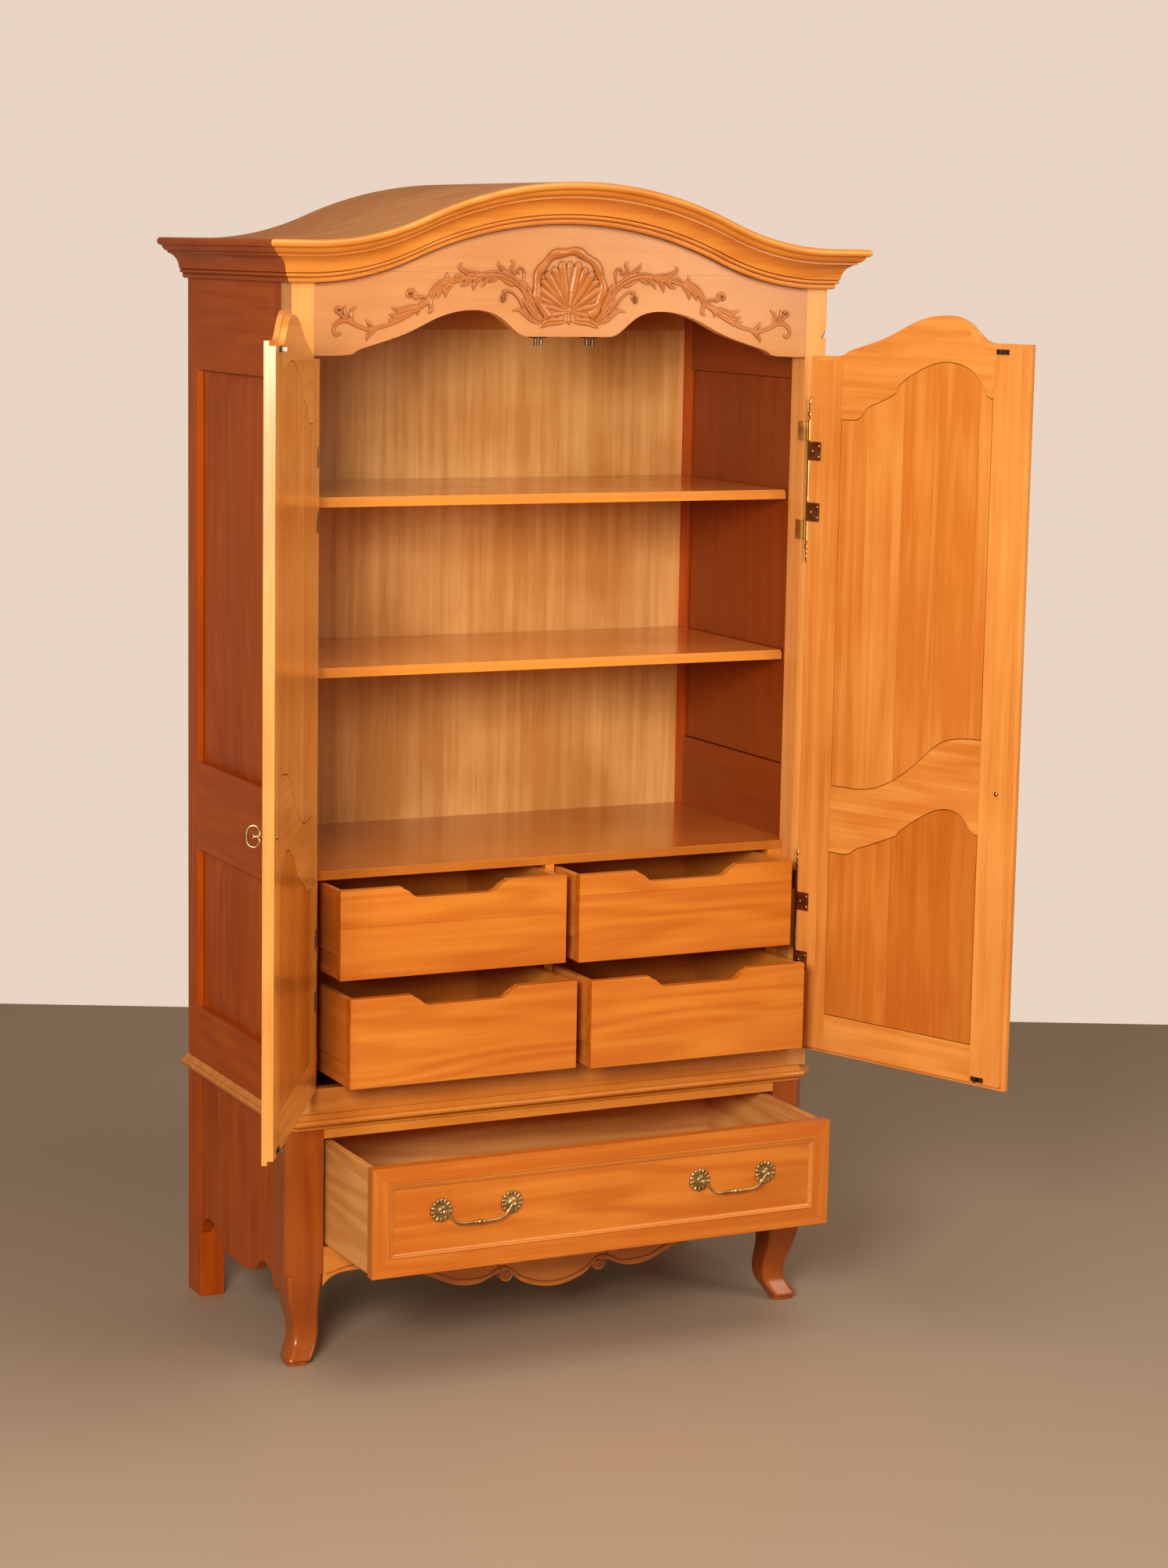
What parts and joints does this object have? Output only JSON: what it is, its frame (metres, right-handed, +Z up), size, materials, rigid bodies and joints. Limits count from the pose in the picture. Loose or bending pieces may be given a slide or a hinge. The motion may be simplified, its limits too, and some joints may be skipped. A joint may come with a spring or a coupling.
{
  "type": "armoire",
  "caption": "Two-door wooden armoire with an arched crown, carved frieze and short bowed front legs, holding open shelves and small drawers, with one wide drawer in the base.",
  "frame": {"origin": "on the floor under the centre of the case", "axes": "+Z up, -Y towards the front with the doors, +X to the right seen from the front"},
  "size_m": [1.4842, 1.0273, 2.1625],
  "materials": {
    "maple": "satin lacquer",
    "panel_wood": "satin lacquer",
    "pale_wood": "bare, lightly sealed",
    "plywood": "satin",
    "brass": "antiqued",
    "catch": "dull plated"
  },
  "bodies": {
    "case": {"back_panel": "plywood", "back_post_left": "maple", "back_post_right": "maple", "back_top_rail": "maple", "base_back_board": "pale_wood", "base_sides": "maple", "base_top_rail": "maple", "case_bottom": "pale_wood", "crown_front": "maple", "crown_sides": "maple", "door_catches": "catch", "door_sill_rail": "maple", "drawer_deck": "maple", "drawer_partitions": "maple", "drawer_runners": "pale_wood", "frieze": "maple", "frieze_carving": "maple", "front_apron": "maple", "front_leg_left": "maple", "front_leg_right": "maple", "hinge_pins": "brass", "lower_shelf": "maple", "post_hinge_leaves": "brass", "roof_panel": "maple", "shelf_pins": "brass", "side_frames": "maple", "side_panels": "panel_wood", "upper_post_left": "maple", "upper_post_right": "maple", "upper_shelf": "maple", "waist_moulding": "maple"},
    "left_door": {"left_door_hinge_leaves": "brass", "left_door_key_pull": "brass", "left_door_lower_panel": "panel_wood", "left_door_rails": "maple", "left_door_stiles": "maple", "left_door_strikes": "brass", "left_door_upper_panel": "panel_wood"},
    "right_door": {"right_door_hinge_leaves": "brass", "right_door_key_pull": "brass", "right_door_lower_panel": "panel_wood", "right_door_rails": "maple", "right_door_stiles": "maple", "right_door_strikes": "brass", "right_door_upper_panel": "panel_wood"},
    "upper_left_drawer": {"upper_left_drawer_box": "pale_wood", "upper_left_drawer_front": "maple"},
    "upper_right_drawer": {"upper_right_drawer_box": "pale_wood", "upper_right_drawer_front": "maple"},
    "lower_left_drawer": {"lower_left_drawer_box": "pale_wood", "lower_left_drawer_front": "maple"},
    "lower_right_drawer": {"lower_right_drawer_box": "pale_wood", "lower_right_drawer_front": "maple"},
    "base_drawer": {"base_drawer_box": "pale_wood", "base_drawer_frame": "maple", "base_drawer_panel": "panel_wood", "handle_rosettes": "brass"},
    "left_bail": {"left_bail_handle": "brass"},
    "right_bail": {"right_bail_handle": "brass"}
  },
  "joints": [
    {"name": "left_door_hinge", "type": "hinge", "parent": "case", "child": "left_door", "pos_m": [-0.507, -0.278, 1.185], "axis": [0, 0, -1], "range_deg": [-120, 50]},
    {"name": "right_door_hinge", "type": "hinge", "parent": "case", "child": "right_door", "pos_m": [0.507, -0.278, 1.185], "axis": [0, 0, 1], "range_deg": [-111, 59]},
    {"name": "upper_left_slide", "type": "slide", "parent": "case", "child": "upper_left_drawer", "axis": [0, -1, 0], "range_m": [-0.097, 0.041]},
    {"name": "lower_left_slide", "type": "slide", "parent": "case", "child": "lower_left_drawer", "axis": [0, -1, 0], "range_m": [-0.148, 0.062]},
    {"name": "upper_right_slide", "type": "slide", "parent": "case", "child": "upper_right_drawer", "axis": [0, -1, 0], "range_m": [-0.107, 0.057]},
    {"name": "lower_right_slide", "type": "slide", "parent": "case", "child": "lower_right_drawer", "axis": [0, -1, 0], "range_m": [-0.165, 0.088]},
    {"name": "base_drawer_slide", "type": "slide", "parent": "case", "child": "base_drawer", "axis": [0, -1, 0], "range_m": [-0.226, 0.15]},
    {"name": "left_bail_hinge", "type": "hinge", "parent": "base_drawer", "child": "left_bail", "pos_m": [-0.262, -0.505, 0.337], "axis": [-1, 0, 0], "range_deg": [-15, 90]},
    {"name": "right_bail_hinge", "type": "hinge", "parent": "base_drawer", "child": "right_bail", "pos_m": [0.262, -0.505, 0.337], "axis": [-1, 0, 0], "range_deg": [-15, 90]}
  ],
  "couplings": [
    {"joint": "upper_left_slide", "follows": "left_door_hinge", "m_per_rad": 0.0463},
    {"joint": "lower_left_slide", "follows": "left_door_hinge", "m_per_rad": 0.0706},
    {"joint": "upper_right_slide", "follows": "right_door_hinge", "m_per_rad": 0.0552},
    {"joint": "lower_right_slide", "follows": "right_door_hinge", "m_per_rad": 0.0851}
  ]
}
